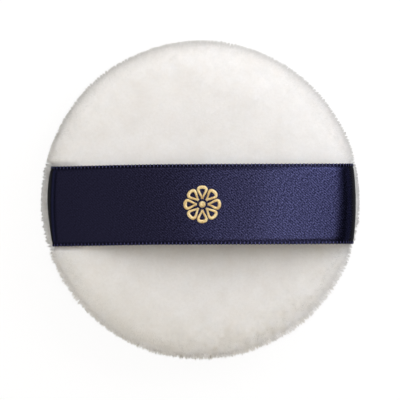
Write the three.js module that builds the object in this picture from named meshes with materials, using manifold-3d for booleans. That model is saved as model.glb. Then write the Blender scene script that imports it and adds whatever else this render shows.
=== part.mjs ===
// Round powder puff: two plush covers sewn at the rim over a foam disc, with a satin ribbon on the back.
// The pieces are drawn about the seam plane, the ribbon along X, and the puff then lies on its face.

import * as THREE from 'three';
import { mergeVertices } from 'three/addons/utils/BufferGeometryUtils.js';
import Module from 'manifold-3d';

const wasm = await Module();
wasm.setup();

// Driving dimensions, in millimetres

// The whole puff, over the tips of the pile
const puffDiameter = 80;
const puffThickness = 17;
const restFlatDiameter = 44; // the face is pressed flat where it lies on a table

// Covers: a knitted ground with a brushed pile, which is shorn away in the seam
const groundThickness = 0.9;
const pileHeight = 2.1;
const bulgeHeight = 3; // from the seam plane to the widest ring of each cover
const seamGroove = 1.4; // how far the sewn rim is drawn in behind that ring
const seamAllowance = 5; // turned-in edge, from the seam to the raw edge

// Ribbon
const ribbonWidth = 20;
const ribbonThickness = 0.4;
const ribbonOffset = -1.2; // it is sewn a little to one side of the middle
const fingerGap = 5; // from the crown to the underside of the ribbon's highest point
const archShift = 7; // the slack has slid to one end, so the highest point is off the middle
const looseShoulder = 7; // bend where the ribbon turns down the side at that end
const tightShoulder = 3; // and at the other end
const shoulderLevel = 2.2; // from the seam plane to the centre of the tight bend
const foldRadius = 0.8; // bend where it turns into the seam

// Rim seam and the hand-sewn closing of the turning gap
const threadDiameter = 0.3;
const stitchInset = 0.8; // from the covers' inner wall to the row of stitches
const stitchLength = 4;
const stitchLip = 0.5; // half the length over which a stitch dips through the layers
const turningGap = 44; // length of rim left open for turning, along the seam
const closingInset = 1; // from the seam to the row of ladder stitches
const rungSpacing = 3.2;

// Embroidery on the ribbon
const motifDiameter = 9.5;
const motifHeight = 0.4;
const petalCount = 8;
const petalNotch = 0.45; // radius between two petals, as a share of the motif's

// Clearances between pieces that touch
const clearance = 0.3;
const threadClearance = 0.15;
const motifClearance = 0.1;

// How full the domes are: 0 is a cone, 1 a box
const sideFullness = 0.72;
const crownFullness = 0.56;

// Facets
const rimSegments = 48;
const domeSteps = 7;
const rollSteps = 3;
const arcSteps = 3;
const ribbonSteps = 8;
const threadSides = 5;
const petalPoints = 8;
const mergeDistance = 1e-4;

// Sizes that follow from those above

const rimRadius = puffDiameter / 2;
const crownHeight = puffThickness / 2;
const restFlatRadius = restFlatDiameter / 2;
const coverThickness = groundThickness + pileHeight;
const wallRadius = rimRadius - coverThickness;
const seamRadius = rimRadius - seamGroove;
const rawEdgeRadius = seamRadius - seamAllowance;
const seamHalfGap = clearance / 2;
const allowanceTop = seamHalfGap + groundThickness;
const threadRadius = threadDiameter / 2;

// The ribbon's middle line: a fold at the seam and a bend at the shoulder, with one arch from bend to bend
const ribbonReach = seamRadius - ribbonThickness / 2;
const foldX = ribbonReach - foldRadius;
const looseX = ribbonReach - looseShoulder;
const tightX = ribbonReach - tightShoulder;
const looseSpan = looseX - archShift;
const tightSpan = tightX + archShift;
const archTop = crownHeight + fingerGap + ribbonThickness / 2;
const archRise = archTop - shoulderLevel;
const archSquares = tightSpan ** 2 + archRise ** 2 - tightShoulder ** 2;
const archRadius = archSquares / (2 * (archRise - tightShoulder));
const archCentre = archTop - archRadius;
const tightAngle = Math.asin(tightSpan / (archRadius - tightShoulder));
const looseAngle = Math.asin(looseSpan / (archRadius - looseShoulder));
const looseLevel = archCentre + (archRadius - looseShoulder) * Math.cos(looseAngle);

// Solids

function solid(geometry) {
  geometry.deleteAttribute('normal');
  geometry.deleteAttribute('uv');
  const merged = mergeVertices(geometry, mergeDistance);
  const corners = merged.index.array;
  const triangles = [];
  for (let i = 0; i < corners.length; i += 3) {
    const [a, b, c] = corners.slice(i, i + 3);
    if (a !== b && b !== c && c !== a) triangles.push(a, b, c);
  }
  const mesh = new wasm.Mesh({
    numProp: 3,
    vertProperties: new Float32Array(merged.attributes.position.array),
    triVerts: new Uint32Array(triangles),
  });
  return new wasm.Manifold(mesh);
}

function joined(solids) {
  return solids.reduce((all, next) => all.add(next));
}

function piece(name, body, material) {
  const { vertProperties, triVerts } = body.getMesh();
  const geometry = new THREE.BufferGeometry();
  geometry.setAttribute('position', new THREE.BufferAttribute(vertProperties, 3));
  geometry.setIndex(new THREE.BufferAttribute(triVerts, 1));
  geometry.computeVertexNormals();
  const mesh = new THREE.Mesh(geometry, material);
  mesh.name = name;
  return mesh;
}

// Revolves a profile of (radius, height) points, drawn so that the outside is climbed upwards
function revolved(profile) {
  return solid(new THREE.LatheGeometry(profile, rimSegments).rotateX(Math.PI / 2));
}

function mirrored(profile) {
  return profile.map((point) => new THREE.Vector2(point.x, -point.y)).reverse();
}

function onRim(radius, angle, height) {
  return new THREE.Vector3(radius * Math.cos(angle), radius * Math.sin(angle), height);
}

// A path that keeps its corners, so that a sweep along it has one ring at each point
class Polyline extends THREE.Curve {
  constructor(points) {
    super();
    this.points = points;
  }

  getUtoTmapping(u) {
    return u;
  }

  getPoint(t, target = new THREE.Vector3()) {
    const last = this.points.length - 2;
    const place = t * (last + 1);
    const index = Math.min(Math.floor(place), last);
    return target.lerpVectors(this.points[index], this.points[index + 1], place - index);
  }
}

function thread(points, radius) {
  const section = new THREE.Shape();
  for (let i = 0; i < threadSides; i++) {
    const angle = (2 * Math.PI * i) / threadSides;
    if (i === 0) section.moveTo(radius, 0);
    else section.lineTo(radius * Math.cos(angle), radius * Math.sin(angle));
  }
  const extrudePath = new Polyline(points);
  return solid(new THREE.ExtrudeGeometry(section, { extrudePath, steps: points.length - 1 }));
}

// Covers and core

// One side of a crowned form, from its widest ring to the axis
function dome(radius, height, flatRadius) {
  const path = new THREE.Path();
  path.moveTo(radius, bulgeHeight);
  path.bezierCurveTo(
    radius, bulgeHeight + sideFullness * (height - bulgeHeight),
    flatRadius + crownFullness * (radius - flatRadius), height,
    flatRadius, height,
  );
  path.lineTo(0, height);
  return path.getPoints(domeSteps);
}

// The plush rolls out of the seam before it turns up the side
function seamRoll() {
  const path = new THREE.Path();
  path.moveTo(seamRadius, seamHalfGap);
  path.quadraticCurveTo(rimRadius, seamHalfGap, rimRadius, bulgeHeight);
  return path.getPoints(rollSteps);
}

// A cover above the seam plane: down the inside, round the turned-in edge and up the outside
function coverProfile(flatRadius) {
  return [
    ...dome(wallRadius, crownHeight - coverThickness, flatRadius).reverse(),
    new THREE.Vector2(wallRadius, allowanceTop),
    new THREE.Vector2(rawEdgeRadius, allowanceTop),
    new THREE.Vector2(rawEdgeRadius, seamHalfGap),
    ...seamRoll().slice(0, -1),
    ...dome(rimRadius, crownHeight, flatRadius),
  ];
}

// The foam is a disc cut to drop inside the raw edges, pressed to the domes by the covers
function foamCore() {
  const inset = coverThickness + clearance;
  const back = dome(rimRadius - inset, crownHeight - inset, 0);
  const face = dome(rimRadius - inset, crownHeight - inset, restFlatRadius);
  const filling = revolved([...mirrored(face), ...back]);
  const die = new THREE.CylinderGeometry(
    rawEdgeRadius - clearance, rawEdgeRadius - clearance, puffThickness, rimSegments,
  );
  return filling.intersect(solid(die.rotateX(Math.PI / 2)));
}

// Ribbon

// A line at an offset outward from the ribbon's middle, from one tail over the arch to the other
function ribbonLine(offset, tail) {
  const path = new THREE.Path();
  path.moveTo(seamRadius - tail, -offset);
  path.absarc(foldX, foldRadius, foldRadius + offset, -Math.PI / 2, 0);
  path.absarc(looseX, looseLevel, looseShoulder + offset, 0, Math.PI / 2 - looseAngle);
  path.absarc(archShift, archCentre, archRadius + offset, Math.PI / 2 - looseAngle, Math.PI / 2);
  path.absarc(archShift, archCentre, archRadius + offset, Math.PI / 2, Math.PI / 2 + tightAngle);
  path.absarc(-tightX, shoulderLevel, tightShoulder + offset, Math.PI / 2 + tightAngle, Math.PI);
  path.absarc(-foldX, foldRadius, foldRadius + offset, Math.PI, (3 * Math.PI) / 2);
  path.lineTo(tail - seamRadius, -offset);
  return path.getPoints(arcSteps);
}

// A strip between two offsets, whose ends follow the round of the rim
function ribbonStrip(inner, outer, width, tail) {
  const outline = [...ribbonLine(outer, tail), ...ribbonLine(inner, tail).reverse()];
  const strip = new THREE.ExtrudeGeometry(new THREE.Shape(outline), {
    depth: width,
    steps: ribbonSteps,
    bevelEnabled: false,
  });
  strip.rotateX(Math.PI / 2).translate(0, ribbonOffset + width / 2, 0);
  const position = strip.attributes.position;
  for (let i = 0; i < position.count; i++) {
    const across = position.getY(i) / ribbonReach;
    position.setX(i, position.getX(i) * Math.sqrt(1 - across ** 2));
  }
  return solid(strip);
}

// Room for the ribbon: a pocket for its tails in the seam, and the pile that it presses at the shoulders
function ribbonRoom(outer) {
  const inner = -ribbonThickness / 2 - clearance;
  return ribbonStrip(inner, outer, ribbonWidth + 2 * clearance, seamAllowance + clearance);
}

// Seams

const stitchRadius = wallRadius - stitchInset;
const closingAngle = turningGap / seamRadius;
const closingStart = Math.PI / 2 - closingAngle / 2;
const seamStart = closingStart + closingAngle;
const seamAngle = 2 * Math.PI - closingAngle;
const stitchCount = Math.floor((seamAngle * stitchRadius) / stitchLength);
const stitchAngle = seamAngle / stitchCount;
const stitchAngles = Array.from({ length: stitchCount + 1 }, (_, i) => seamStart + stitchAngle * i);

// One thread of the lockstitch lies on its own side of the layers and dips to their middle at each hole
function lockstitch(side) {
  const laid = side * (allowanceTop + threadClearance + threadRadius);
  const locked = side * (threadClearance + threadRadius);
  const lip = stitchLip / stitchRadius;
  const points = stitchAngles.flatMap((angle) => [
    onRim(stitchRadius, angle - lip, laid),
    onRim(stitchRadius, angle, locked),
    onRim(stitchRadius, angle + lip, laid),
  ]);
  return thread(points, threadRadius);
}

function stitchHoles() {
  const across = threadDiameter + 2 * threadClearance;
  const along = 2 * stitchLip + across;
  const through = 2 * (allowanceTop + threadClearance);
  return joined(stitchAngles.map((angle) => {
    const centre = onRim(stitchRadius, angle, 0);
    const hole = new THREE.BoxGeometry(across, along, through);
    return solid(hole.rotateZ(angle).translate(centre.x, centre.y, centre.z));
  }));
}

// The ladder stitch runs inside one folded edge, crosses, and runs inside the other
function ladderStitch(radius, overrun) {
  const row = seamRadius - closingInset;
  const depth = seamHalfGap + groundThickness / 2;
  const rungs = 2 * Math.round(turningGap / rungSpacing / 2) + 1;
  const points = [];
  for (let i = 0; i <= rungs; i++) {
    const angle = closingStart + (closingAngle * i) / rungs;
    const side = i % 2 === 0 ? -1 : 1;
    const enters = i === 0 ? depth + overrun : depth;
    const leaves = i === rungs ? depth + overrun : depth;
    points.push(onRim(row, angle, side * enters));
    points.push(onRim(row, angle, -side * leaves));
  }
  return thread(points, radius);
}

// Embroidery

function rosette() {
  const outline = [];
  const count = petalCount * petalPoints;
  for (let i = 0; i < count; i++) {
    const angle = (2 * Math.PI * i) / count;
    const swell = Math.sqrt(Math.abs(Math.cos((petalCount * angle) / 2)));
    const radius = (motifDiameter / 2) * (petalNotch + (1 - petalNotch) * swell);
    outline.push(new THREE.Vector2(radius * Math.cos(angle), radius * Math.sin(angle)));
  }
  const raised = new THREE.ExtrudeGeometry(new THREE.Shape(outline), {
    depth: motifHeight,
    bevelEnabled: false,
  });
  raised.translate(0, ribbonOffset, archRadius + ribbonThickness / 2 + motifClearance);
  return solid(raised.rotateY(-Math.asin(archShift / archRadius)).translate(archShift, 0, archCentre));
}

// Materials

function finish(color, roughness, metalness = 0) {
  return new THREE.MeshStandardMaterial({ color, roughness, metalness });
}

const velour = finish('#efebe6', 0.95);
const foam = finish('#f2ead6', 0.95);
const satin = finish('#23264a', 0.4);
const sewingThread = finish('#f4f1ea', 0.7);
const goldThread = finish('#c8a24c', 0.4, 0.6);

// Assembly

const holes = stitchHoles();
const ladderTunnel = ladderStitch(threadRadius + threadClearance, threadClearance);
const pressedPile = ribbonRoom(pileHeight);
const tailPocket = ribbonRoom(ribbonThickness / 2 + clearance);
const backShell = revolved(coverProfile(0));
const faceShell = revolved(mirrored(coverProfile(restFlatRadius)));
const band = ribbonStrip(-ribbonThickness / 2, ribbonThickness / 2, ribbonWidth, seamAllowance);

const cushion = new THREE.Group();
cushion.add(
  piece('face_cover', faceShell.subtract(tailPocket).subtract(holes).subtract(ladderTunnel), velour),
  piece('back_cover', backShell.subtract(pressedPile).subtract(holes).subtract(ladderTunnel), velour),
  piece('foam_core', foamCore(), foam),
  piece('rim_needle_thread', lockstitch(1), sewingThread),
  piece('rim_bobbin_thread', lockstitch(-1), sewingThread),
  piece('closing_thread', ladderStitch(threadRadius, 0), sewingThread),
);

const handRibbon = new THREE.Group();
handRibbon.add(
  piece('ribbon', band.subtract(holes), satin),
  piece('embroidered_motif', rosette(), goldThread),
);

const puff = new THREE.Group();
puff.add(cushion, handRibbon);
puff.position.z = crownHeight;

const powderPuff = new THREE.Group();
powderPuff.add(puff);

export default powderPuff;
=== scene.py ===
# Round velour powder puff with a satin hand ribbon: the dressed pieces and a plain studio, in metres

import itertools
import math

import bpy
import numpy as np
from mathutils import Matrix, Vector


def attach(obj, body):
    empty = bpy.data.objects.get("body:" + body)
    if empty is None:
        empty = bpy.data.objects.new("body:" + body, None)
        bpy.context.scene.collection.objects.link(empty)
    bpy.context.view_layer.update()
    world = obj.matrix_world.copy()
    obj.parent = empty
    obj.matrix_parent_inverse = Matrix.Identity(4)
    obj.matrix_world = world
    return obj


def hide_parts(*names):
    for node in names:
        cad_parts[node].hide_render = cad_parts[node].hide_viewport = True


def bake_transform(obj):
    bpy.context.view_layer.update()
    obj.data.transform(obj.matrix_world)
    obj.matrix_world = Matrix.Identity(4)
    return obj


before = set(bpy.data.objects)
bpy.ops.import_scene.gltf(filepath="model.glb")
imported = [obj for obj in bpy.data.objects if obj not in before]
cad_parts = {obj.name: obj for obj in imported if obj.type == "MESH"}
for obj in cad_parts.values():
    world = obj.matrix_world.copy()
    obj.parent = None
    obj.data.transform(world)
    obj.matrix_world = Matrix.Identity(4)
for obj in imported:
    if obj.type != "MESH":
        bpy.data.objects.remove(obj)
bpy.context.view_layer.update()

MM = 0.001
TINY = 1e-9  # keeps a division from zero

# Sizes shared with the solids
SEAM_Z = 8.5 * MM
RIM_RADIUS = 40 * MM
CROWN = 8.5 * MM  # from the seam plane to the top of the back, and to the face
REST_FLAT = 22 * MM
BULGE = 3 * MM
SEAM_RADIUS = 38.6 * MM
SIDE_FULLNESS = 0.72
CROWN_FULLNESS = 0.56
RAW_EDGE = 33.6 * MM
RIBBON_WIDTH = 20 * MM
RIBBON_THICKNESS = 0.4 * MM
RIBBON_OFFSET = -1.2 * MM
FINGER_GAP = 5 * MM
ARCH_SHIFT = 7 * MM
LOOSE_SHOULDER = 7 * MM
TIGHT_SHOULDER = 3 * MM
SHOULDER_LEVEL = 2.2 * MM
FOLD_RADIUS = 0.8 * MM
MOTIF_RADIUS = 4.75 * MM

RIBBON_REACH = SEAM_RADIUS - RIBBON_THICKNESS / 2
FOLD_X = RIBBON_REACH - FOLD_RADIUS
LOOSE_X = RIBBON_REACH - LOOSE_SHOULDER
TIGHT_X = RIBBON_REACH - TIGHT_SHOULDER
TIGHT_SPAN = TIGHT_X + ARCH_SHIFT
ARCH_TOP = CROWN + FINGER_GAP + RIBBON_THICKNESS / 2
ARCH_RISE = ARCH_TOP - SHOULDER_LEVEL
ARCH_RADIUS = (TIGHT_SPAN**2 + ARCH_RISE**2 - TIGHT_SHOULDER**2) / (2 * (ARCH_RISE - TIGHT_SHOULDER))
ARCH_CENTRE = ARCH_TOP - ARCH_RADIUS
TIGHT_ANGLE = math.asin(TIGHT_SPAN / (ARCH_RADIUS - TIGHT_SHOULDER))
LOOSE_ANGLE = math.asin((LOOSE_X - ARCH_SHIFT) / (ARCH_RADIUS - LOOSE_SHOULDER))
LOOSE_LEVEL = ARCH_CENTRE + (ARCH_RADIUS - LOOSE_SHOULDER) * math.cos(LOOSE_ANGLE)

# The ribbon as it lies
RIBBON_SHIFT = 0.45 * MM  # towards its loose end
RIBBON_BOW = 0.5  # bow of its ends over the rim, as a share of the rim's own
RIBBON_DRAW = 0.45 * MM  # its tight end is drawn aside by this, from and to these places along it
DRAW_FROM = 6 * MM
DRAW_TO = 46 * MM
RIBBON_SKEW = 0.004
FREE_LEVEL = 3.5 * MM  # over the seam plane, from where the stitches no longer hold it
LEAST_CHORD = 0.1


# Small tools

def new_mesh(name, points, faces):
    """A mesh object from arrays of points and of faces with one number of corners"""
    mesh = bpy.data.meshes.new(name)
    mesh.vertices.add(len(points))
    mesh.vertices.foreach_set("co", np.asarray(points, np.float32).ravel())
    count, corners = faces.shape
    mesh.loops.add(count * corners)
    mesh.loops.foreach_set("vertex_index", faces.astype(np.int32).ravel())
    mesh.polygons.add(count)
    mesh.polygons.foreach_set("loop_start", np.arange(0, count * corners, corners, dtype=np.int32))
    mesh.polygons.foreach_set("use_smooth", np.ones(count, bool))
    mesh.update(calc_edges=True)
    made = bpy.data.objects.new(name, mesh)
    bpy.context.scene.collection.objects.link(made)
    return made


def points_of(mesh):
    """A mesh's points as an array"""
    found = np.empty(len(mesh.vertices) * 3, np.float32)
    mesh.vertices.foreach_get("co", found)
    return found.reshape(-1, 3).astype(float)


def normals_of(mesh):
    """A mesh's normals at its points"""
    found = np.empty(len(mesh.vertices) * 3, np.float32)
    mesh.vertex_normals.foreach_get("vector", found)
    return found.reshape(-1, 3).astype(float)


def applied(made):
    """Turns an object's modifiers into its mesh"""
    graph = bpy.context.evaluated_depsgraph_get()
    mesh = bpy.data.meshes.new_from_object(made.evaluated_get(graph))
    made.modifiers.clear()
    made.data = mesh
    return made


def unit(vectors):
    """Vectors of length 1"""
    return vectors / np.linalg.norm(vectors, axis=-1, keepdims=True)


def smooth(low, high, value):
    """From 0 at low to 1 at high, with level ends"""
    part = np.clip((value - low) / (high - low), 0, 1)
    return part * part * (3 - 2 * part)


LATTICE = 64


def lumps(points, size, seed):
    """Smooth seeded noise from -1 to 1 that changes over about size"""
    table = np.random.default_rng(seed).uniform(-1, 1, (LATTICE,) * 3)
    place = points / size
    cell = np.floor(place).astype(int)
    part = place - cell
    part = part * part * (3 - 2 * part)
    total = np.zeros(len(points))
    for corner in itertools.product((0, 1), repeat=3):
        weight = np.prod(np.where(corner, part, 1 - part), axis=1)
        index = (cell + np.array(corner)) % LATTICE
        total += weight * table[index[:, 0], index[:, 1], index[:, 2]]
    return total


# Materials

def principled(name, sockets):
    """A material with constants on its shader's own sockets: returns it, its tree and its shader"""
    made = bpy.data.materials.new(name)
    made.use_nodes = True
    shader = made.node_tree.nodes["Principled BSDF"]
    for socket, value in sockets.items():
        shader.inputs[socket].default_value = value
    return made, made.node_tree, shader


def add(tree, kind, sockets=None, **settings):
    """A node whose sockets take values, or links from other nodes' outputs"""
    made = tree.nodes.new("ShaderNode" + kind)
    for key, value in settings.items():
        setattr(made, key, value)
    for socket, value in (sockets or {}).items():
        if isinstance(value, bpy.types.NodeSocket):
            tree.links.new(value, made.inputs[socket])
        else:
            made.inputs[socket].default_value = value
    return made


def ramp(tree, factor, stops):
    """A colour ramp's output, from stops of place and colour"""
    made = add(tree, "ValToRGB", {"Fac": factor})
    steps = made.color_ramp.elements
    while len(steps) < len(stops):
        steps.new(0.5)
    for step, (place, colour) in zip(steps, stops):
        step.position = place
        step.color = (*colour, 1)
    return made.outputs["Color"]


def grey(value):
    return (value,) * 3


def velour_ground():
    """The pile's mass, brushed into clumps, with painted shade greying its steep rim"""
    made, tree, shader = principled("velour_ground", {
        "Roughness": 0.95,
        "Specular IOR Level": 0.1,
        "Sheen Weight": 0.05,
        "Sheen Roughness": 0.6,
        "Subsurface Weight": 1.0,
        "Subsurface Radius": (1.0, 0.95, 0.9),
        "Subsurface Scale": 3.0 * MM,
    })
    place = add(tree, "TexCoord").outputs["Object"]
    clumps = add(tree, "TexNoise", {"Vector": place, "Scale": 1500, "Detail": 3, "Roughness": 0.6})
    brushed = add(tree, "TexNoise", {"Vector": place, "Scale": 220, "Detail": 2})
    mixed = add(tree, "Math", {0: clumps.outputs["Fac"], 1: brushed.outputs["Fac"]}, operation="MULTIPLY")
    colour = ramp(tree, mixed.outputs[0], [
        (0.10, (0.86, 0.835, 0.80)),
        (0.25, (0.90, 0.88, 0.85)),
        (0.40, (0.93, 0.91, 0.885)),
    ])
    upright = add(tree, "SeparateXYZ", {"Vector": add(tree, "NewGeometry").outputs["True Normal"]})
    level = add(tree, "Math", {0: upright.outputs["Z"]}, operation="ABSOLUTE")
    # Painted shade: the steeper the cover, the greyer its colour, standing in for the pile's shade seen from
    # the side
    painted_rim_shade = ramp(tree, level.outputs[0], [
        (0.30, (0.78, 0.78, 0.785)),
        (0.66, (0.84, 0.84, 0.843)),
        (0.85, (0.91, 0.91, 0.912)),
        (0.93, (0.97, 0.97, 0.97)),
        (0.97, (1.0, 1.0, 1.0)),
    ])
    shaded = add(tree, "VectorMath", {0: colour, 1: painted_rim_shade}, operation="MULTIPLY")
    tree.links.new(shaded.outputs[0], shader.inputs["Base Color"])
    bump = add(tree, "Bump", {"Strength": 0.2, "Distance": 0.2 * MM, "Height": clumps.outputs["Fac"]})
    tree.links.new(bump.outputs["Normal"], shader.inputs["Normal"])
    return made


PILE_COLOUR = np.array([0.945, 0.925, 0.90])
# The greyest tint, for painted shade on the steep rim and for darker clumps of tone
PILE_SHADE_GREY = np.array([0.60, 0.593, 0.57])
PILE_TINTS = 7


def velour_pile():
    """The pile's tints, from the palest to the greyest, for painted shade and random tone"""
    shades = [PILE_COLOUR + (PILE_SHADE_GREY - PILE_COLOUR) * step / (PILE_TINTS - 1) for step in range(PILE_TINTS)]
    return [
        principled(f"velour_pile_{index}", {
            "Base Color": (*shade, 1),
            "Roughness": 0.9,
            "Specular IOR Level": 0.1,
            "Sheen Weight": 0.05,
            "Sheen Roughness": 0.5,
        })[0]
        for index, shade in enumerate(shades)
    ]


# Plush covers

GRID = 42
RIM_SHARE = 0.999  # a point further out than this is on the rim
CURVE_POINTS = 60
DOME_POINTS = CURVE_POINTS + 1  # of a cover's profile, from the axis to where the side is upright
GROUND_INSET = 0.5 * MM  # the pile's tips stand this far over its mass
SIM_LOW = 0.6 * MM  # the blank is lower and wider by these, and the pressure swells it to shape
SIM_WIDE = 0.2 * MM
SIM_PRESSURE = 1.2
SIM_SCALE = 10  # the cloth is simulated larger, because its solver is made for metres
SIM_FRAMES = 20
SIM_REACH = 0.65 * MM


def bezier(*controls):
    """Points along the Bezier curve of some control points"""
    t = np.linspace(0, 1, CURVE_POINTS)[:, None]
    points = [np.array(c, float)[None, :] for c in controls]
    while len(points) > 1:
        points = [a * (1 - t) + b * t for a, b in zip(points, points[1:])]
    return points[0]


def cover_profile(inset, flat, low=0.0, wide=0.0):
    """(radius, height over the seam plane) from the axis to the seam"""
    radius, height = RIM_RADIUS - inset + wide, CROWN - inset - low
    dome = bezier(
        (flat, height),
        (flat + CROWN_FULLNESS * (radius - flat), height),
        (radius, BULGE + SIDE_FULLNESS * (height - BULGE)),
        (radius, BULGE),
    )
    roll = bezier((radius, BULGE), (radius, 0), (SEAM_RADIUS - inset, 0))
    return np.vstack([[(0, height)], dome, roll[1:]])


def dome_height(radius, inset, flat):
    """Height over the seam plane, at a distance from the axis"""
    profile = cover_profile(inset, flat)[:DOME_POINTS]
    return np.interp(radius, profile[:, 0], profile[:, 1])


def disc_grid():
    """A square grid of (share of the way out, angle) that covers a disc evenly"""
    a, b = np.meshgrid(np.linspace(-1, 1, GRID + 1), np.linspace(-1, 1, GRID + 1), indexing="ij")
    wide = np.abs(a) >= np.abs(b)
    longer = np.where(wide, a, b)
    ratio = np.where(wide, b, a) / np.where(longer == 0, 1, longer)
    turn = np.where(wide, math.pi / 4 * ratio, math.pi / 2 - math.pi / 4 * ratio)
    angle = turn + np.where(longer < 0, math.pi, 0)
    return np.abs(longer).ravel(), angle.ravel()


def cover_blank(flat, side, low=0.0, wide=0.0):
    """A cover's points on the disc grid: side is 1 for the back and -1 for the face"""
    share, angle = disc_grid()
    profile = cover_profile(GROUND_INSET, flat, low, wide)
    steps = np.linalg.norm(np.diff(profile, axis=0), axis=1)
    length = np.concatenate([[0], np.cumsum(steps)])
    radius = np.interp(share * length[-1], length, profile[:, 0])
    height = np.interp(share * length[-1], length, profile[:, 1])
    return np.stack([radius * np.cos(angle), radius * np.sin(angle), SEAM_Z + side * height], axis=1)


def grid_faces(rows, columns):
    """Quads over a grid of points, row by row"""
    index = np.arange(rows * columns).reshape(rows, columns)
    corners = [index[:-1, :-1], index[1:, :-1], index[1:, 1:], index[:-1, 1:]]
    return np.stack([c.ravel() for c in corners], axis=1)


def swollen(back, face, faces):
    """Both covers, sewn at the rim, swelled by pressure in a cloth simulation"""
    count = len(back)
    share = disc_grid()[0]
    rim = np.flatnonzero(share > RIM_SHARE)
    place = np.arange(count) + count
    place[rim] = rim
    points = np.vstack([back, face]) * SIM_SCALE
    blank = new_mesh("cover_blank", points, np.vstack([faces, place[faces[:, ::-1]]]))
    pins = blank.vertex_groups.new(name="seam")
    pins.add(rim.tolist(), 1.0, "REPLACE")
    cloth = blank.modifiers.new("cloth", "CLOTH")
    settings = cloth.settings
    settings.quality = 8
    settings.mass = 0.3
    settings.tension_stiffness = 40
    settings.compression_stiffness = 40
    settings.shear_stiffness = 10
    settings.bending_stiffness = 8
    settings.vertex_group_mass = "seam"
    settings.use_pressure = True
    settings.uniform_pressure_force = SIM_PRESSURE
    settings.effector_weights.gravity = 0
    cloth.point_cache.frame_start = 1
    cloth.point_cache.frame_end = SIM_FRAMES
    for step in range(1, SIM_FRAMES + 1):
        bpy.context.scene.frame_set(step)
    graph = bpy.context.evaluated_depsgraph_get()
    swelled = points_of(blank.evaluated_get(graph).to_mesh()) / SIM_SCALE
    bpy.data.objects.remove(blank)
    bpy.context.scene.frame_set(1)
    start = np.vstack([back, face])
    move = swelled - start
    reach = np.linalg.norm(move, axis=1, keepdims=True)
    moved = start + move * np.minimum(1, SIM_REACH / np.maximum(reach, TINY))
    moved[count + rim] = moved[rim]
    return moved[:count], moved[count:]


def round_rim(y, reach):
    """How far out a round rim is at a place across it, as a share of its reach"""
    return np.sqrt(np.maximum(LEAST_CHORD, 1 - (y / reach) ** 2))


def ribbon_bend(y, z):
    """How the rim draws in the ribbon's length at a place across it, and how far it has shifted"""
    free = smooth(FOLD_RADIUS, FREE_LEVEL, z)
    sewn = round_rim(y, RIBBON_REACH)
    bowed = 1 - RIBBON_BOW * (1 - round_rim(y - RIBBON_OFFSET, RIBBON_REACH))
    return sewn * (1 - free) + bowed * free, RIBBON_SHIFT * free


def ribbon_middle(x):
    """Where the ribbon's middle is across the puff, at a place along it"""
    drawn = smooth(DRAW_FROM, DRAW_TO, -x)
    return RIBBON_OFFSET - RIBBON_DRAW * drawn + RIBBON_SKEW * x


def ribbon_height(points):
    """How far points are outside the ribbon's middle line, and which way is out"""
    z = points[:, 2] - SEAM_Z
    bend, shift = ribbon_bend(points[:, 1], z)
    x = (points[:, 0] - shift) / bend
    loose = x > 0
    side = np.where(loose, 1.0, -1.0)
    radius = np.where(loose, LOOSE_SHOULDER, TIGHT_SHOULDER)
    level = np.where(loose, LOOSE_LEVEL, SHOULDER_LEVEL)
    arch = np.stack([x - ARCH_SHIFT, z - ARCH_CENTRE], axis=1)
    shoulder = np.stack([x - side * (RIBBON_REACH - radius), z - level], axis=1)
    on_arch = side * np.arctan2(arch[:, 0], arch[:, 1]) < np.where(loose, LOOSE_ANGLE, TIGHT_ANGLE)
    on_side = (z < level) & ~on_arch
    arch_reach = np.linalg.norm(arch, axis=1)
    shoulder_reach = np.linalg.norm(shoulder, axis=1)
    height = np.where(on_arch, arch_reach - ARCH_RADIUS, shoulder_reach - radius)
    height = np.where(on_side, side * x - RIBBON_REACH, height)
    way = np.where(on_arch[:, None], unit(arch), shoulder / np.maximum(shoulder_reach, TINY)[:, None])
    way = np.where(on_side[:, None], np.stack([side, 0 * side], axis=1), way)
    return height, np.stack([way[:, 0], 0 * side, way[:, 1]], axis=1)


PRESS_GAP = 0.5 * MM
PRESS_FULL = 0.2 * MM  # beside the ribbon, where the pressing starts to fade
PRESS_FADE = 1.6 * MM


def under_ribbon(points, gap):
    """Presses points in behind the ribbon, fading out beside its edges"""
    height, out = ribbon_height(points)
    beside = np.abs(points[:, 1] - ribbon_middle(points[:, 0])) - RIBBON_WIDTH / 2
    weight = 1 - smooth(PRESS_FULL, PRESS_FADE, beside)
    excess = np.maximum(0, height + RIBBON_THICKNESS / 2 + gap)
    return points - out * (excess * weight)[:, None]


GROUND_THICKNESS = 2.4 * MM
FREE_TILT = math.radians(16)
EDGE_TILT = math.radians(24)
SHADED_TILT = math.radians(23)  # light spreads along the pile, so the back's rim shades no steeper than this
RUFFLED_RIGHT = math.radians(310)
RUFFLED_LEFT = math.radians(165)
RUFFLED_FROM = 26 * MM
RUFFLED_TO = 37 * MM
CLUMP_SIZE = 1.3 * MM
COVER_SWELLS = ((0.25, 14), (0.07, 5), (0.01, 1.6))  # height and breadth in mm


def ruffled(points):
    """How far the pile stands in clumps: not on the crown, most on two sides of the rim"""
    around = np.arctan2(points[:, 1], points[:, 0])
    right = np.maximum(np.cos(around - RUFFLED_RIGHT), 0)
    left = np.maximum(np.cos(around - RUFFLED_LEFT), 0)
    sides = 0.1 + 0.8 * right ** 1.5 + 0.42 * left ** 3
    return sides * smooth(RUFFLED_FROM, RUFFLED_TO, np.hypot(points[:, 0], points[:, 1]))


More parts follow.
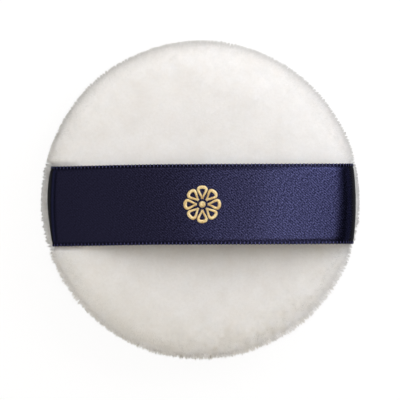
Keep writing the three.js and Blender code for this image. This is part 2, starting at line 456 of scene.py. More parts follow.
def shaded_normals(points, normals):
    """The normals that the back is shaded by, ruffled by the clumps of its pile"""
    tilt = np.arccos(np.clip(normals[:, 2], -1, 1))
    held = SHADED_TILT * np.tanh((tilt / FREE_TILT) ** 2) * (1 - 0.6 * smooth(EDGE_TILT, 2 * EDGE_TILT, tilt))
    outward = normals[:, :2] / np.maximum(np.linalg.norm(normals[:, :2], axis=1, keepdims=True), TINY)
    shaded = np.column_stack([outward * np.sin(held)[:, None], np.cos(held)])
    clumps = np.column_stack([
        lumps(points, CLUMP_SIZE, seed=78),
        lumps(points, CLUMP_SIZE, seed=79),
        np.zeros(len(points)),
    ])
    return unit(shaded + clumps * (0.02 + 0.45 * ruffled(points))[:, None])


def plush(name, blank, faces, side, seed):
    """A cover's velour mass: returns the closed piece and its outer points, normals and triangles"""
    made = new_mesh(name, blank, faces if side > 0 else faces[:, ::-1])
    rounding = made.modifiers.new("rounding", "SUBSURF")
    rounding.levels = 2
    rounding.boundary_smooth = "PRESERVE_CORNERS"
    applied(made)
    points, normals = points_of(made.data), normals_of(made.data)
    rim = smooth(SEAM_RADIUS - 2.5 * MM, SEAM_RADIUS + 0.2 * MM, np.hypot(points[:, 0], points[:, 1]))
    near_seam = rim * (1 - smooth(0, 2 * MM, np.abs(points[:, 2] - SEAM_Z)))
    swell = np.zeros(len(points))
    for step, (height, breadth) in enumerate(COVER_SWELLS):
        swell += height * lumps(points, breadth * MM, seed + step)
    points += normals * (swell * MM * (1 - near_seam))[:, None]
    if side > 0:
        points = under_ribbon(points, PRESS_GAP)
    points[:, 2] = np.maximum(points[:, 2], GROUND_INSET)
    made.data.vertices.foreach_set("co", points.astype(np.float32).ravel())
    made.data.update()
    made.data.calc_loop_triangles()
    triangles = np.empty(len(made.data.loop_triangles) * 3, np.int32)
    made.data.loop_triangles.foreach_get("vertices", triangles)
    outside = points, normals_of(made.data), triangles.reshape(-1, 3)
    shell = made.modifiers.new("shell", "SOLIDIFY")
    shell.thickness = GROUND_THICKNESS
    shell.offset = -1
    applied(made)
    if side > 0:
        shaded = shaded_normals(points_of(made.data), normals_of(made.data))
        made.data.normals_split_custom_set_from_vertices(shaded.tolist())
    return made, outside


PILE_COUNT = 45000
PILE_LENGTH = 0.95 * MM
PILE_ROOT = 0.2 * MM
PILE_RADIUS = 0.07 * MM
TIP_GAP = 0.05 * MM  # under the ribbon
TIP_DEPTH = 0.1 * MM  # of the tips that use has pressed, under the cover's own level
TABLE_GAP = 0.02 * MM
FOLDED_END = 3 * MM  # the face's pile is denser here, where the ribbon's ends fold over it
FOLDED_DENSITY = 4
LOCK_COUNT = 300
LOCK_LEVEL = 3.0 * MM
LOCK_LEVELS = 8
LOCK_LEAST = (0.1, 0.8, 0.45)  # place of a lock's middle, its reach and its hold
LOCK_MOST = (0.9, 1.32, 0.95)
LOCKED_SHARE = 0.8
LOOSE_REACH = 0.85
SHADED_RIM_ANGLE = math.radians(265)  # the side of the rim away from the key lamp: painted paler there, painted light that lifts its shade, and more toothed
RIM_SHADE_LEVELS = (0.3, 0.66, 0.85, 0.93, 0.97)  # how level the cover is, from its steep side to the crown
RIM_SHADE_LIT_SIDE = (0.9, 0.8, 0.57, 0.38, 0.15)  # how much painted shade greys its pile there, on the lit side and on the shaded side
RIM_SHADE_SHADED_SIDE = (0.3, 0.36, 0.53, 0.5, 0.12)


def flattened(tip):
    """Lays the tips under the ribbon level with the cover, where use has pressed them"""
    level = SEAM_Z + dome_height(np.hypot(tip[:, 0], tip[:, 1]), 0, 0) - TIP_DEPTH
    beside = np.abs(tip[:, 1] - ribbon_middle(tip[:, 0])) - RIBBON_WIDTH / 2
    weight = 1 - smooth(-0.2 * MM, 0.6 * MM, beside)
    tip[:, 2] -= np.maximum(0, tip[:, 2] - level) * weight
    return tip


def shaded_rim_share(points):
    """How far round towards the rim's shaded side, 0 to 1"""
    return smooth(-0.5, 0.6, np.cos(np.arctan2(points[:, 1], points[:, 0]) - SHADED_RIM_ANGLE))


def rim_locks(root):
    """For each tuft at the rim, the turn about Z that gathers it into a lock, and the lock's length"""
    angle = np.arctan2(root[:, 1], root[:, 0])
    place = angle / (2 * math.pi) * LOCK_COUNT
    lock = np.floor(place).astype(int)
    level = np.floor((root[:, 2] - SEAM_Z) / LOCK_LEVEL + 0.5).astype(int)
    random = np.random.default_rng(seed=74)
    locks = random.uniform(LOCK_LEAST, LOCK_MOST, (LOCK_LEVELS, LOCK_COUNT, 3))
    middle, reach, hold = locks[level, lock].T
    away = shaded_rim_share(root)
    toothed = 0.35 + 0.65 * smooth(-0.1, 1.1, 0.6 * lumps(root * (1, 1, 0), 6 * MM, seed=80) + away)
    aside = place - lock - middle
    gathered = toothed * (random.random(len(root)) < LOCKED_SHARE)
    turn = -aside / LOCK_COUNT * 2 * math.pi * hold * gathered
    length = LOOSE_REACH + (reach * (1 - 0.3 * np.abs(aside)) - LOOSE_REACH) * gathered
    return turn, length * (1 + 0.34 * away)


def pile(name, outside, side, seed, materials):
    """Closed tapering tufts of pile that stand on a cover's velour mass"""
    points, normals, triangles = outside
    random = np.random.default_rng(seed)
    corners = points[triangles]
    area = np.linalg.norm(np.cross(corners[:, 1] - corners[:, 0], corners[:, 2] - corners[:, 0]), axis=1)
    middle = corners.mean(1)
    ends = np.abs(middle[:, 1] - RIBBON_OFFSET) < RIBBON_WIDTH / 2
    ends &= np.abs(middle[:, 0]) > SEAM_RADIUS - FOLDED_END
    area *= np.where((side < 0) & ends, FOLDED_DENSITY, 1)
    chosen = random.choice(len(triangles), PILE_COUNT, p=area / area.sum())
    share = random.dirichlet((1, 1, 1), PILE_COUNT)
    root = (corners[chosen] * share[:, :, None]).sum(1)
    normal = unit((normals[triangles[chosen]] * share[:, :, None]).sum(1))
    heading = 2.2 * lumps(root, 16 * MM, seed=71) + 0.9 * lumps(root, 4 * MM, seed=72)
    nap = np.stack([np.cos(heading), np.sin(heading), np.zeros(PILE_COUNT)], axis=1)
    steep = smooth(0.25, 0.6, 1 - np.abs(normal[:, 2]))
    lean = 0.25 * nap + random.normal(0, 0.28, (PILE_COUNT, 3))
    lean *= 1 - 0.6 * steep[:, None]
    lean -= normal * (lean * normal).sum(1, keepdims=True)
    way = unit(normal + lean)
    length = random.uniform(0.65, 1.1, PILE_COUNT) * (1 + 0.3 * lumps(root, 0.9 * MM, seed=73))
    turn, reach = rim_locks(root)
    length = PILE_LENGTH * (length * (1 - steep) + reach * random.uniform(0.75, 1.0, PILE_COUNT) * steep)
    tip = root + way * length[:, None]
    turn *= steep
    tip[:, :2] = np.column_stack([tip[:, 0] - tip[:, 1] * turn, tip[:, 1] + tip[:, 0] * turn])
    if side > 0:
        tip = flattened(under_ribbon(tip, TIP_GAP))
    tip[:, 2] = np.maximum(tip[:, 2], TABLE_GAP)
    foot = root - normal * PILE_ROOT
    first = unit(np.cross(normal, random.normal(size=(PILE_COUNT, 3))))
    second = np.cross(normal, first)
    shaded = shaded_normals(root, normal) if side > 0 else normal
    base = []
    facing = []
    for angle in (0, 2 * math.pi / 3, 4 * math.pi / 3):
        spoke = first * math.cos(angle) + second * math.sin(angle)
        base.append(foot + spoke * PILE_RADIUS * (1 + 0.35 * steep[:, None]))
        facing.append(unit(shaded + 0.06 * spoke))
    facing.append(unit(shaded + 0.05 * lean))
    tuft_faces = np.array([[0, 1, 3], [1, 2, 3], [2, 0, 3], [2, 1, 0]])
    first_corner = 4 * np.arange(PILE_COUNT)[:, None, None]
    made = new_mesh(
        name,
        np.stack([*base, tip], axis=1).reshape(-1, 3),
        (first_corner + tuft_faces).reshape(-1, 3),
    )
    made.data.normals_split_custom_set_from_vertices(np.stack(facing, axis=1).reshape(-1, 3).tolist())
    for material in materials:
        made.data.materials.append(material)
    # Painted shade: tufts on the steep rim take greyer tints, less grey on the shaded side, which is painted
    # light; clumps of tint, partly random tone and partly painted shade of the clumps, are strongest where
    # the pile is ruffled
    away = shaded_rim_share(root)
    painted_shade_and_tone = np.interp(np.abs(normal[:, 2]), RIM_SHADE_LEVELS, RIM_SHADE_LIT_SIDE) * (1 - away)
    painted_shade_and_tone += np.interp(np.abs(normal[:, 2]), RIM_SHADE_LEVELS, RIM_SHADE_SHADED_SIDE) * away
    stirred = ruffled(root)
    clumps = (0.02 + 0.2 * stirred) * lumps(root, 1.2 * MM, seed=75)
    clumps += (0.02 + 0.4 * stirred) * lumps(root, 0.6 * MM, seed=77)
    painted_shade_and_tone += clumps
    painted_shade_and_tone += random.normal(0, 0.03, PILE_COUNT)
    last = len(materials) - 1
    tint = np.repeat(np.clip(np.rint(painted_shade_and_tone * last), 0, last), len(tuft_faces))
    made.data.polygons.foreach_set("material_index", tint.astype(np.int32))
    made.visible_shadow = False  # so fine a pile lets the light through
    return made


faces = grid_faces(GRID + 1, GRID + 1)
back_blank, face_blank = swollen(
    cover_blank(0, 1, SIM_LOW, SIM_WIDE), cover_blank(REST_FLAT, -1, SIM_LOW, SIM_WIDE), faces)

ground_material = velour_ground()
pile_materials = velour_pile()
for node, blank, side, seed in (("back", back_blank, 1, 11), ("face", face_blank, -1, 31)):
    cover, outside = plush(f"{node}_plush", blank, faces, side, seed)
    cover.data.materials.append(ground_material)
    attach(cover, "puff")
    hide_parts(f"{node}_cover")
    tufts = [pile(f"{node}_pile_{part}", outside, side, seed + 5 + part, pile_materials) for part in (1, 2)]
    for tuft in tufts:
        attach(tuft, "puff")


# Ribbon

RIBBON_STEP = 0.3 * MM
EDGE_STEPS = 10
MIDDLE_STEPS = 44
EDGE_BAND = 1.2 * MM
ARC_POINTS = 80
TAIL_POINTS = 20
SAME_PLACE = 1e-7
GROOVE_INSET = 0.95 * MM  # the groove beside each selvage, and the thinner edge outside it
GROOVE_WIDTH = 0.16 * MM
GROOVE_DEPTH = 0.07 * MM
EDGE_THINNING = 0.11 * MM
DRIFT_SIZE = 9 * MM  # slow waves of the cloth, which fade out towards its sewn ends
DRIFT_HEIGHT = 0.10 * MM
WEAVE_UNIT = 100  # mm to one unit of the weave's coordinates


def ribbon_line():
    """The middle line from the right tail to the left one: points and outward normals in X and Z"""
    parts = []

    def arc(x, z, radius, start, end):
        angle = np.linspace(start, end, ARC_POINTS)
        out = np.stack([np.cos(angle), np.sin(angle)], axis=1)
        parts.append((np.array([[x, z]]) + radius * out, out))

    def tail(start, end):
        x = np.linspace(start, end, TAIL_POINTS)
        parts.append((np.stack([x, 0 * x], axis=1), np.tile([[0.0, -1.0]], (len(x), 1))))

    tail(RAW_EDGE, FOLD_X)
    arc(FOLD_X, FOLD_RADIUS, FOLD_RADIUS, -math.pi / 2, 0)
    arc(LOOSE_X, LOOSE_LEVEL, LOOSE_SHOULDER, 0, math.pi / 2 - LOOSE_ANGLE)
    arc(ARCH_SHIFT, ARCH_CENTRE, ARCH_RADIUS, math.pi / 2 - LOOSE_ANGLE, math.pi / 2 + TIGHT_ANGLE)
    arc(-TIGHT_X, SHOULDER_LEVEL, TIGHT_SHOULDER, math.pi / 2 + TIGHT_ANGLE, math.pi)
    arc(-FOLD_X, FOLD_RADIUS, FOLD_RADIUS, math.pi, 1.5 * math.pi)
    tail(-FOLD_X, -RAW_EDGE)
    points = np.vstack([p for p, _ in parts])
    outward = np.vstack([n for _, n in parts])
    steps = np.linalg.norm(np.diff(points, axis=0), axis=1)
    keep = np.concatenate([[True], steps > SAME_PLACE])
    points, outward = points[keep], outward[keep]
    length = np.concatenate([[0], np.cumsum(np.linalg.norm(np.diff(points, axis=0), axis=1))])
    return points, outward, length


RIBBON_POINTS, RIBBON_OUT, RIBBON_ALONG = ribbon_line()
RIBBON_LENGTH = RIBBON_ALONG[-1]


def on_ribbon(along, across, height):
    """Points at a length along the ribbon, a place across it and a height over its middle"""
    x = np.interp(along, RIBBON_ALONG, RIBBON_POINTS[:, 0])
    z = np.interp(along, RIBBON_ALONG, RIBBON_POINTS[:, 1])
    out_x = np.interp(along, RIBBON_ALONG, RIBBON_OUT[:, 0])
    out_z = np.interp(along, RIBBON_ALONG, RIBBON_OUT[:, 1])
    y = across + ribbon_middle(x)
    bend, shift = ribbon_bend(y, z)
    return np.stack([(x + out_x * height) * bend + shift, y, SEAM_Z + z + out_z * height], axis=-1)


def ribbon_sheet(material):
    """The ribbon as a closed sheet, grooved beside its selvages, with a map along and across it"""
    rows = int(RIBBON_LENGTH / RIBBON_STEP)
    along = np.linspace(0, RIBBON_LENGTH, rows + 1)
    half = RIBBON_WIDTH / 2
    edge = np.linspace(-half, -half + EDGE_BAND, EDGE_STEPS + 1)
    across = np.concatenate([edge, np.linspace(edge[-1], -edge[-1], MIDDLE_STEPS + 1)[1:-1], -edge[::-1]])
    columns = len(across)
    u, v = np.meshgrid(along, across, indexing="ij")
    inside = half - np.abs(v)
    groove = np.exp(-(((inside - GROOVE_INSET) / GROOVE_WIDTH) ** 2))
    thin = EDGE_THINNING * (1 - smooth(0.7 * MM, 1.0 * MM, inside))
    flat = np.stack([u.ravel(), v.ravel() * 0.5, 0 * u.ravel()], axis=1)
    drift = lumps(flat, DRIFT_SIZE, seed=81).reshape(u.shape)
    loose = smooth(8 * MM, 16 * MM, np.minimum(u, RIBBON_LENGTH - u))
    relief = DRIFT_HEIGHT * drift * loose
    top = on_ribbon(u, v, RIBBON_THICKNESS / 2 + relief - GROOVE_DEPTH * groove - thin)
    low = on_ribbon(u, v, -RIBBON_THICKNESS / 2 + relief + GROOVE_DEPTH * groove + thin)
    count = top.shape[0] * columns
    sheet = grid_faces(rows + 1, columns)
    index = np.arange(count).reshape(rows + 1, columns)
    loop = np.concatenate([index[0, :], index[1:, -1], index[-1, -2::-1], index[-2:0:-1, 0]])
    wall = np.stack([loop, np.roll(loop, -1), np.roll(loop, -1) + count, loop + count], axis=1)
    made = new_mesh(
        "satin_ribbon",
        np.vstack([top.reshape(-1, 3), low.reshape(-1, 3)]),
        np.vstack([sheet[:, ::-1], sheet + count, wall]),
    )
    place = np.stack([u.ravel(), v.ravel()], axis=1) / MM / WEAVE_UNIT
    place = np.vstack([place, place])
    corners = np.empty(len(made.data.loops), np.int32)
    made.data.loops.foreach_get("vertex_index", corners)
    layer = made.data.uv_layers.new(name="weave")
    layer.data.foreach_set("uv", place[corners].astype(np.float32).ravel())
    made.data.materials.append(material)
    return made


LOOP_PITCH = 0.955 * MM
LOOP_REACH = 0.72 * MM
LOOP_HALF_WIDTH = 0.17 * MM
LOOP_HEIGHT = 0.07 * MM
LOOP_SIDES = 8
LOOP_TAPER = 0.18  # radians left off each end of a loop's swell
BARE_TAIL = 6 * MM  # inside the seam, where no loop shows


def selvage(material):
    """The turned weft loops along both edges of the ribbon"""
    count = int((RIBBON_LENGTH - 2 * BARE_TAIL) / LOOP_PITCH)
    start = (RIBBON_LENGTH - (count - 1) * LOOP_PITCH) / 2
    half = RIBBON_WIDTH / 2
    level = RIBBON_THICKNESS / 2
    turn = np.linspace(math.pi / 2, -math.pi / 2, 7)
    path = [(half - LOOP_REACH, level * 0.6), (half - 0.6 * LOOP_REACH, level)]
    path += [(half + level * 0.7 * math.cos(t) - 0.1 * MM, level * math.sin(t)) for t in turn]
    path += [(half - 0.6 * LOOP_REACH, -level), (half - LOOP_REACH, -level * 0.6)]
    path = np.array(path)
    way = unit(np.gradient(path, axis=0))
    side_way = np.stack([-way[:, 1], way[:, 0]], axis=1)
    swell = np.sin(np.linspace(LOOP_TAPER, math.pi - LOOP_TAPER, len(path))) ** 0.5
    ring = np.linspace(0, 2 * math.pi, LOOP_SIDES + 1)[:-1]
    points, quads = [], []
    for edge in (-1, 1):
        for number in range(count):
            along = start + number * LOOP_PITCH
            u = along + LOOP_HALF_WIDTH * swell[:, None] * np.cos(ring)[None, :]
            lift = LOOP_HEIGHT * swell[:, None] * np.sin(ring)[None, :]
            v = path[:, 0:1] + side_way[:, 0:1] * lift
            h = path[:, 1:2] + side_way[:, 1:2] * lift
            base = sum(len(p) for p in points)
            points.append(on_ribbon(u, edge * v, h).reshape(-1, 3))
            index = np.arange(len(path) * LOOP_SIDES).reshape(len(path), LOOP_SIDES) + base
            after = np.roll(index, -1, axis=1)
            tube = np.stack([index[:-1], after[:-1], after[1:], index[1:]], axis=-1).reshape(-1, 4)
            caps = np.array([
                [index[0, 3], index[0, 2], index[0, 1], index[0, 0]],
                [index[0, 0], index[0, 7], index[0, 4], index[0, 3]],
                [index[0, 7], index[0, 6], index[0, 5], index[0, 4]],
                [index[-1, 0], index[-1, 1], index[-1, 2], index[-1, 3]],
                [index[-1, 3], index[-1, 4], index[-1, 7], index[-1, 0]],
                [index[-1, 4], index[-1, 5], index[-1, 6], index[-1, 7]],
            ])
            both = np.vstack([tube, caps])
            quads.append(both[:, ::-1] if edge > 0 else both)
    made = new_mesh("ribbon_selvage", np.vstack(points), np.vstack(quads))
    made.data.materials.append(material)
    return made


SATIN_EDGE = (0.0, 0.0, 0.0, 1)  # the filaments don't shine at a glancing view
TIGHT_LEVELLING = 0.33  # how far the tight end's bend is spared the painted shade
WEAVE_SLANT = math.radians(42)


def painted_bend_shade(tree):
    """Painted shade: 1 where the ribbon lies level, falling to a small share where it bends down, sooner at
    its loose end, and lighter again where it stands upright
    """
    normal = add(tree, "SeparateXYZ", {"Vector": add(tree, "TexCoord").outputs["Normal"]})
    upright = add(tree, "Math", {0: normal.outputs["Z"]}, operation="ABSOLUTE")
    leftward = add(tree, "Math", {0: normal.outputs["X"], 1: 0.0}, operation="MINIMUM")
    level = add(tree, "Math", {0: leftward.outputs[0], 1: -TIGHT_LEVELLING, 2: upright.outputs[0]},
                operation="MULTIPLY_ADD")
    return ramp(tree, level.outputs[0], [
        (0.05, grey(0.9)),
        (0.45, grey(0.4)),
        (0.77, grey(0.28)),
        (0.905, grey(0.46)),
        (0.98, grey(1.0)),
    ])


def satin():
    """Navy satin with a slanted weave; a painted sparkle speckles its colour over the loose half, where the
    highlight falls, and it is plainer towards the tight end
    """
    made, tree, shader = principled("navy_satin", {
        "Metallic": 0.88,
        "Roughness": 0.285,
        "Anisotropic": 0.4,
        "Anisotropic Rotation": 0.25,
        "Specular Tint": SATIN_EDGE,
    })
    uv = add(tree, "UVMap", uv_map="weave").outputs["UV"]
    tangent = add(tree, "Tangent", direction_type="UV_MAP", uv_map="weave")
    tree.links.new(tangent.outputs["Tangent"], shader.inputs["Tangent"])
    split = add(tree, "SeparateXYZ", {"Vector": uv})
    slant = (0, 0, WEAVE_SLANT)
    slanted = add(tree, "Mapping", {"Vector": uv, "Rotation": slant, "Scale": (0.0042, 0.0019, 1)},
                  vector_type="TEXTURE")
    floats = add(tree, "TexNoise", {"Vector": slanted.outputs["Vector"], "Scale": 1, "Detail": 2})
    turned = add(tree, "Mapping", {"Vector": uv, "Rotation": slant}, vector_type="TEXTURE")
    lines = add(
        tree, "TexWave",
        {"Vector": turned.outputs["Vector"], "Scale": 58, "Distortion": 1.5, "Detail": 1},
        wave_type="BANDS", bands_direction="Y",
    )
    faint = add(tree, "Math", {0: lines.outputs["Fac"], 1: 0.10, 2: -0.05}, operation="MULTIPLY_ADD")
    twill = add(tree, "Math", {0: floats.outputs["Fac"], 1: faint.outputs[0]}, operation="ADD").outputs[0]
    plain = ramp(tree, twill, [
        (0.30, (0.0160, 0.0169, 0.0405)),
        (0.70, (0.0412, 0.0434, 0.1046)),
    ])
    painted_sparkle = ramp(tree, twill, [
        (0.32, (0.0034, 0.0036, 0.0098)),
        (0.50, (0.0240, 0.0250, 0.0640)),
        (0.68, (0.0840, 0.0860, 0.2020)),
    ])
    # Painted sparkle: the loose half, where the highlight falls, takes the more speckled colour
    along = ramp(tree, split.outputs["X"], [(0.50, grey(1.0)), (0.75, grey(0.0))])
    weave = add(tree, "Mix", {"Factor": along}, data_type="RGBA")
    tree.links.new(plain, weave.inputs["A"])
    tree.links.new(painted_sparkle, weave.inputs["B"])
    # Painted shade: the edge band outside each groove, under the selvage loops, is darkened
    across = add(tree, "Math", {0: split.outputs["Y"]}, operation="ABSOLUTE")
    edge = ramp(tree, across.outputs[0], [(0.0905, grey(1.0)), (0.0925, grey(0.35))])
    # Painted shade darkens the satin where the ribbon bends down to the seam
    bend_shaded = add(tree, "VectorMath", {0: weave.outputs["Result"], 1: painted_bend_shade(tree)},
                   operation="MULTIPLY")
    edge_shaded = add(tree, "VectorMath", {0: bend_shaded.outputs[0], 1: edge}, operation="MULTIPLY")
    tree.links.new(edge_shaded.outputs[0], shader.inputs["Base Color"])
    bump = add(tree, "Bump", {"Strength": 0.6, "Distance": 0.03 * MM, "Height": twill})
    tree.links.new(bump.outputs["Normal"], shader.inputs["Normal"])
    return made


def selvage_thread():
    """The paler twisted thread of the selvage loops"""
    made, tree, shader = principled("navy_selvage", {
        "Metallic": 0.8,
        "Roughness": 0.4,
        "Specular Tint": SATIN_EDGE,
    })
    place = add(tree, "TexCoord").outputs["Object"]
    twist = add(tree, "TexNoise", {"Vector": place, "Scale": 4000, "Detail": 2})
    colour = ramp(tree, twist.outputs["Fac"], [(0.35, (0.085, 0.089, 0.21)), (0.65, (0.17, 0.176, 0.40))])
    # Painted shade darkens the loops where the ribbon bends down to the seam
    bend_shaded = add(tree, "VectorMath", {0: colour, 1: painted_bend_shade(tree)}, operation="MULTIPLY")
    tree.links.new(bend_shaded.outputs[0], shader.inputs["Base Color"])
    bump = add(tree, "Bump", {"Strength": 0.3, "Distance": 0.05 * MM, "Height": twist.outputs["Fac"]})
    tree.links.new(bump.outputs["Normal"], shader.inputs["Normal"])
    return made


ribbon = ribbon_sheet(satin())
loops = selvage(selvage_thread())
for piece in (ribbon, loops):
    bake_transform(piece)
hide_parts("ribbon")


# Embroidery

PETALS = 8
PETAL_STITCHES = 44
STITCH_RADIUS = 0.13 * MM
STITCH_RISE = 0.22 * MM
STITCH_POINTS = 9
STITCH_SIDES = 6
CENTRE_STITCHES = 14
CENTRE_FROM = 0.02  # of the motif's radius
CENTRE_TO = 0.16


def stitch(start, end, rise, radius):
    """One raised stitch: a tube that leaves the cloth, arches and goes back in"""
    share = np.linspace(0, 1, STITCH_POINTS)[:, None]
    line = start * (1 - share) + end * share
    line[:, 2] += rise * np.sin(math.pi * share[:, 0]) ** 0.6
    way = unit(np.gradient(line, axis=0))
    side_way = unit(np.cross(way, [0, 0, 1.0]))
    up = np.cross(side_way, way)
    ring = np.linspace(0, 2 * math.pi, STITCH_SIDES + 1)[:-1]
    spokes = side_way[:, None, :] * np.cos(ring)[None, :, None] + up[:, None, :] * np.sin(ring)[None, :, None]
    points = line[:, None, :] + radius * spokes
    index = np.arange(len(line) * STITCH_SIDES).reshape(len(line), STITCH_SIDES)
    after = np.roll(index, -1, axis=1)
    tube = np.stack([index[:-1], index[1:], after[1:], after[:-1]], axis=-1).reshape(-1, 4)
    caps = np.array([
        [index[0, 0], index[0, 1], index[0, 2], index[0, 3]],
        [index[0, 3], index[0, 4], index[0, 5], index[0, 0]],
        [index[-1, 3], index[-1, 2], index[-1, 1], index[-1, 0]],
        [index[-1, 0], index[-1, 5], index[-1, 4], index[-1, 3]],
    ])
    return points.reshape(-1, 3), np.vstack([tube, caps])


def on_top(x, y):
    """A point on the ribbon's upper face near its middle"""
    z = SEAM_Z + ARCH_CENTRE + math.sqrt((ARCH_RADIUS + RIBBON_THICKNESS / 2) ** 2 - (x - ARCH_SHIFT) ** 2)
    return np.array([x + RIBBON_SHIFT, y + ribbon_middle(x), z])


def rosette(material):
    """A rosette of looped petals round a centre, in satin stitch"""
    random = np.random.default_rng(seed=91)
    points, quads = [], []

    def sew(start, end, rise, radius):
        made, tube = stitch(on_top(*start), on_top(*end), rise, radius)
        quads.append(tube + sum(len(p) for p in points))
        points.append(made)

    def petal_line(share):
        """A loop from near the centre out round a petal's tip and back: along the petal and to its side"""
        reach = 0.24 + 0.66 * np.sin(math.pi * share) ** 0.8
        aside = -0.235 * np.sin(2 * math.pi * share) * np.sin(math.pi * share) ** 0.35
        return np.stack([reach, aside], axis=-1) * MOTIF_RADIUS

    shares = np.linspace(0.02, 0.98, PETAL_STITCHES)
    line = petal_line(shares)
    across = unit(np.gradient(line, axis=0))[:, ::-1] * np.array([-1, 1])
    halves = (0.17 + 0.16 * np.sin(math.pi * shares) ** 2) * MM
    for petal in range(PETALS):
        angle = 2 * math.pi * petal / PETALS
        turn = np.array([[math.cos(angle), math.sin(angle)], [-math.sin(angle), math.cos(angle)]])
        for place, way, half in zip(line, across, halves):
            reach = half * random.uniform(0.92, 1.08)
            sew((place - way * reach) @ turn, (place + way * reach) @ turn, STITCH_RISE, STITCH_RADIUS)
    for number in range(CENTRE_STITCHES):
        angle = 2 * math.pi * number / CENTRE_STITCHES
        out = np.array([math.cos(angle), math.sin(angle)])
        sew(out * CENTRE_FROM * MOTIF_RADIUS, out * CENTRE_TO * MOTIF_RADIUS, STITCH_RISE, STITCH_RADIUS)
    made = new_mesh("gold_rosette", np.vstack(points), np.vstack(quads))
    made.data.materials.append(material)
    return made


def gold_thread():
    """Twisted thread with a metal gleam, with painted shade darkening the twist's hollows"""
    made, tree, shader = principled("gold_thread", {
        "Metallic": 0.35,
        "Roughness": 0.36,
        "Specular IOR Level": 0.6,
    })
    place = add(tree, "TexCoord").outputs["Object"]
    twist = add(tree, "TexNoise", {"Vector": place, "Scale": 5000, "Detail": 2})
    shade = add(tree, "TexNoise", {"Vector": place, "Scale": 700, "Detail": 1})
    # Painted shade: the colour darkens where the twist's bump is low
    mixed = add(tree, "Math", {0: twist.outputs["Fac"], 1: shade.outputs["Fac"]}, operation="MULTIPLY")
    colour = ramp(tree, mixed.outputs[0], [
        (0.12, (0.70, 0.48, 0.19)),
        (0.25, (0.92, 0.71, 0.35)),
        (0.38, (1.0, 0.86, 0.50)),
    ])
    tree.links.new(colour, shader.inputs["Base Color"])
    bump = add(tree, "Bump", {"Strength": 0.4, "Distance": 0.05 * MM, "Height": twist.outputs["Fac"]})
    tree.links.new(bump.outputs["Normal"], shader.inputs["Normal"])
    return made


motif = rosette(gold_thread())
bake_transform(motif)
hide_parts("embroidered_motif")


# Foam and sewing threads

FOAM_INSET = 3.6 * MM
FOAM_RADIUS = 33 * MM
PORE_SIZE = 1.1 * MM
PORE_DEPTH = 0.16 * MM


def foam_disc(material):
    """The foam: a domed disc with a cut edge and open pores"""
    share, angle = disc_grid()
    radius = np.minimum(share * RIM_RADIUS, FOAM_RADIUS)
    layers = []
    for flat, side in ((0, 1), (REST_FLAT, -1)):
        height = np.where(share > RIM_SHARE, 0, dome_height(radius, FOAM_INSET, flat))
        level = SEAM_Z + side * height
        layers.append(np.stack([radius * np.cos(angle), radius * np.sin(angle), level], axis=1))
    count = len(share)
    rim = np.flatnonzero(share > RIM_SHARE)
    place = np.arange(count) + count
    place[rim] = rim
    quads = grid_faces(GRID + 1, GRID + 1)
    made = new_mesh("foam_disc", np.vstack(layers), np.vstack([quads, place[quads[:, ::-1]]]))
    loose = made.modifiers.new("loose", "WELD")
    loose.merge_threshold = 1e-6
    cells = made.modifiers.new("cells", "SUBSURF")
    cells.levels = 1
    applied(made)
    points = points_of(made.data)
    pores = PORE_DEPTH * lumps(points, PORE_SIZE, seed=61)
    points += normals_of(made.data) * pores[:, None]
    made.data.vertices.foreach_set("co", points.astype(np.float32).ravel())
    made.data.update()
    made.data.materials.append(material)
    return made


def foam():
    """Cream foam, with painted shade darkening its pores"""
    made, tree, shader = principled("foam", {"Roughness": 0.95, "Specular IOR Level": 0.2})
    place = add(tree, "TexCoord").outputs["Object"]
    cells = add(tree, "TexVoronoi", {"Vector": place, "Scale": 1400}, feature="DISTANCE_TO_EDGE")
    # Painted shade: the cells darken towards their middles, where the bump sinks into pores
    colour = ramp(tree, cells.outputs["Distance"], [(0.0, (0.88, 0.82, 0.66)), (0.35, (0.70, 0.62, 0.46))])
    tree.links.new(colour, shader.inputs["Base Color"])
    bump = add(tree, "Bump", {"Strength": 0.7, "Distance": 0.3 * MM, "Height": cells.outputs["Distance"]})
    bump.invert = True
    tree.links.new(bump.outputs["Normal"], shader.inputs["Normal"])
    return made


def cotton():
    """Spun sewing thread"""
    made, tree, shader = principled("cotton_thread", {"Roughness": 0.8, "Sheen Weight": 0.2})
    place = add(tree, "TexCoord").outputs["Object"]
    strands = add(tree, "TexWave", {"Vector": place, "Scale": 900, "Distortion": 1.5, "Detail": 2},
                  bands_direction="DIAGONAL")
    colour = ramp(tree, strands.outputs["Fac"], [(0.1, (0.72, 0.69, 0.64)), (0.8, (0.88, 0.86, 0.82))])
    tree.links.new(colour, shader.inputs["Base Color"])
    bump = add(tree, "Bump", {"Strength": 0.5, "Distance": 0.08 * MM, "Height": strands.outputs["Fac"]})
    tree.links.new(bump.outputs["Normal"], shader.inputs["Normal"])
    return made


pad = foam_disc(foam())
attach(pad, "puff")
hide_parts("foam_core")
thread_material = cotton()
for name in ("rim_needle_thread", "rim_bobbin_thread", "closing_thread"):
    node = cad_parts[name]
    node.data.materials.clear()
    node.data.materials.append(thread_material)


# Floor, light and camera

FLOOR_HALF = 4.0


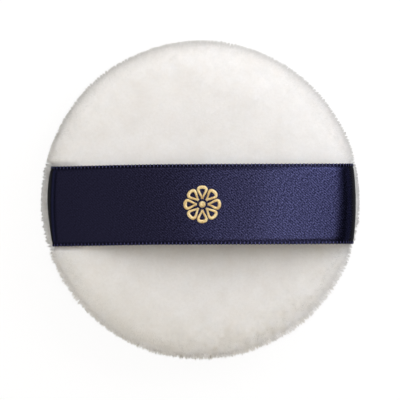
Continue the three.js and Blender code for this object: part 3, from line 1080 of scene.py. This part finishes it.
def studio_floor():
    """A pale floor that keeps the shadow: the camera and the satin see it nearly white"""
    corners = np.array([[-1, -1, 0], [1, -1, 0], [1, 1, 0], [-1, 1, 0]]) * FLOOR_HALF
    made = new_mesh("floor", corners, np.array([[0, 1, 2, 3]]))
    material = bpy.data.materials.new("pale_floor")
    material.use_nodes = True
    tree = material.node_tree
    tree.nodes.clear()
    rays = add(tree, "LightPath").outputs
    seen = add(tree, "Math", {0: rays["Is Camera Ray"], 1: rays["Is Glossy Ray"]}, operation="MAXIMUM")
    seen = add(tree, "Math", {0: seen.outputs[0], 1: rays["Is Transmission Ray"]}, operation="MAXIMUM")
    pale = add(tree, "Emission", {"Strength": 0.91})
    dim = add(tree, "BsdfDiffuse", {"Color": (0.12, 0.12, 0.12, 1)})
    both = add(tree, "AddShader", {0: pale.outputs[0], 1: dim.outputs[0]})
    matte = add(tree, "BsdfDiffuse", {"Color": (0.9, 0.9, 0.9, 1)})
    shown = add(tree, "MixShader", {0: seen.outputs[0], 1: matte.outputs[0], 2: both.outputs[0]})
    add(tree, "OutputMaterial", {"Surface": shown.outputs[0]})
    made.data.materials.append(material)


def studio_world():
    """A soft ceiling light overhead, and white at the horizon"""
    world = bpy.data.worlds.new("studio")
    bpy.context.scene.world = world
    world.use_nodes = True
    tree = world.node_tree
    tree.nodes.clear()
    way = add(tree, "TexCoord").outputs["Generated"]
    level = add(tree, "SeparateXYZ", {"Vector": way}).outputs["Z"]
    colour = ramp(tree, level, [
        (0.0, (1, 1, 1)),
        (0.03, (1, 1, 1)),
        (0.08, (0.03, 0.03, 0.03)),
        (0.50, (0.03, 0.03, 0.03)),
        (0.62, (0.42, 0.365, 0.33)),
    ])
    sky = add(tree, "Background", {"Color": colour, "Strength": 1.0})
    add(tree, "OutputWorld", {"Surface": sky.outputs[0]})


def aimed(name, kind, way, colour, strength):
    """A lamp whose light comes from one direction"""
    data = bpy.data.lights.new(name, kind)
    data.energy = strength
    data.color = colour
    made = bpy.data.objects.new(name, data)
    bpy.context.scene.collection.objects.link(made)
    made.rotation_euler = Vector(way).to_track_quat("Z", "Y").to_euler()
    return made


def soft_sun(name, way, spread, colour, strength, mirrored=True, spread_light=True):
    """A far lamp, as wide in the sky as its spread in degrees, for gloss, for matte light or for both"""
    made = aimed(name, "SUN", way, colour, strength)
    made.data.angle = math.radians(spread)
    made.visible_glossy = mirrored
    made.visible_diffuse = spread_light


def soft_disc(name, way, distance, size, colour, watts):
    """A near round lamp, whose light falls off across the puff"""
    made = aimed(name, "AREA", way, colour, watts)
    made.data.shape = "DISK"
    made.data.size = size
    made.location = Vector(way).normalized() * distance
    made.visible_camera = False


CAMERA_DISTANCE = 1.0
FRAME_LEVEL = 11.5 * MM
FRAME_WIDTH = 100.6 * MM  # at that level
FRAME_PIXELS = 400
SENSOR = 36.0
PIXEL = FRAME_WIDTH / FRAME_PIXELS


def photo_camera():
    """A camera straight above, half a pixel off the axis"""
    data = bpy.data.cameras.new("camera")
    data.sensor_width = SENSOR
    data.lens = CAMERA_DISTANCE * SENSOR / FRAME_WIDTH
    data.clip_start = 0.01
    made = bpy.data.objects.new("camera", data)
    bpy.context.scene.collection.objects.link(made)
    made.location = (-0.5 * PIXEL, -0.5 * PIXEL, FRAME_LEVEL + CAMERA_DISTANCE)
    bpy.context.scene.camera = made


studio_floor()
studio_world()
soft_disc("key", (0.67, 0.47, 0.57), 0.27, 0.25, (0.90, 0.93, 1.0), 0.56)
soft_disc("back", (-0.07, 0.82, 0.57), 0.27, 0.25, (1.0, 0.91, 0.82), 0.17)
soft_sun("low", (-0.86, 0.50, 0.105), 26, (0.88, 0.94, 1.0), 1.75, mirrored=False)
soft_sun("front", (0.05, -0.985, 0.174), 26, (1.0, 0.935, 0.76), 0.60)
soft_sun("front_left", (-0.60, -0.79, 0.12), 26, (0.98, 0.95, 0.82), 0.62)
soft_sun("front_top", (0.2, -0.2, 1), 26, (1.0, 0.96, 0.87), 0.24)
soft_sun("right_top", (0.38, 0.06, 1), 23, (0.90, 1.0, 1.0), 0.205)
soft_sun("strip", (-0.044, 0.0, 1), 10, (0.92, 0.98, 1.0), 0.042, spread_light=False)
photo_camera()
bpy.context.scene.view_settings.view_transform = "Standard"
